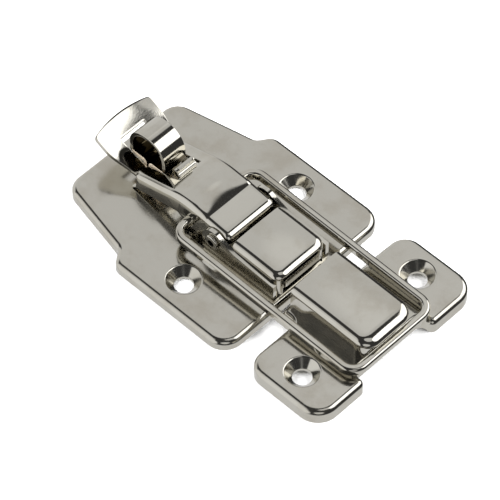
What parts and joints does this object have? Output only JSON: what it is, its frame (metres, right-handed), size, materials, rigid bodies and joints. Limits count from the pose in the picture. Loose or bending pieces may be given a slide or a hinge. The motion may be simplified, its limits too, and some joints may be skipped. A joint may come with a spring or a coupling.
{
  "type": "toolbox draw latch",
  "caption": "Over-centre toolbox draw latch in bright nickel-plated steel, with a padlock eye, a pull loop and a screwed catch plate.",
  "frame": {"origin": "midway between the base plate's two screw holes, on the mounting face", "axes": "+X from the lever towards the catch, +Y across the latch, +Z out of the mounting face"},
  "size_m": [0.0974, 0.0572, 0.0194],
  "materials": {
    "nickel_plate": "bright nickel plate",
    "nickel_fold": "bright nickel plate",
    "nickel_rod": "bright nickel plate"
  },
  "bodies": {
    "base": {"base_plate": "nickel_plate", "pivot_bracket": "nickel_fold", "housing_cover": "nickel_fold", "pivot_pin": "nickel_rod", "padlock_staple": "nickel_fold", "catch_plate": "nickel_plate", "catch_hook": "nickel_fold"},
    "lever": {"lever": "nickel_fold"},
    "loop": {"bail_loop": "nickel_rod"}
  },
  "joints": [
    {"name": "lever_pivot", "type": "hinge", "parent": "base", "child": "lever", "pos_m": [0, 0, 0.009], "axis": [0, 1, 0], "range_deg": [0, 100]},
    {"name": "loop_pivot", "type": "hinge", "parent": "lever", "child": "loop", "pos_m": [-0.0094, 0, 0.008], "axis": [0, 1, 0], "range_deg": [-92, 0]}
  ],
  "couplings": [
    {"joint": "loop_pivot", "follows": "lever_pivot", "ratio": -0.89}
  ]
}
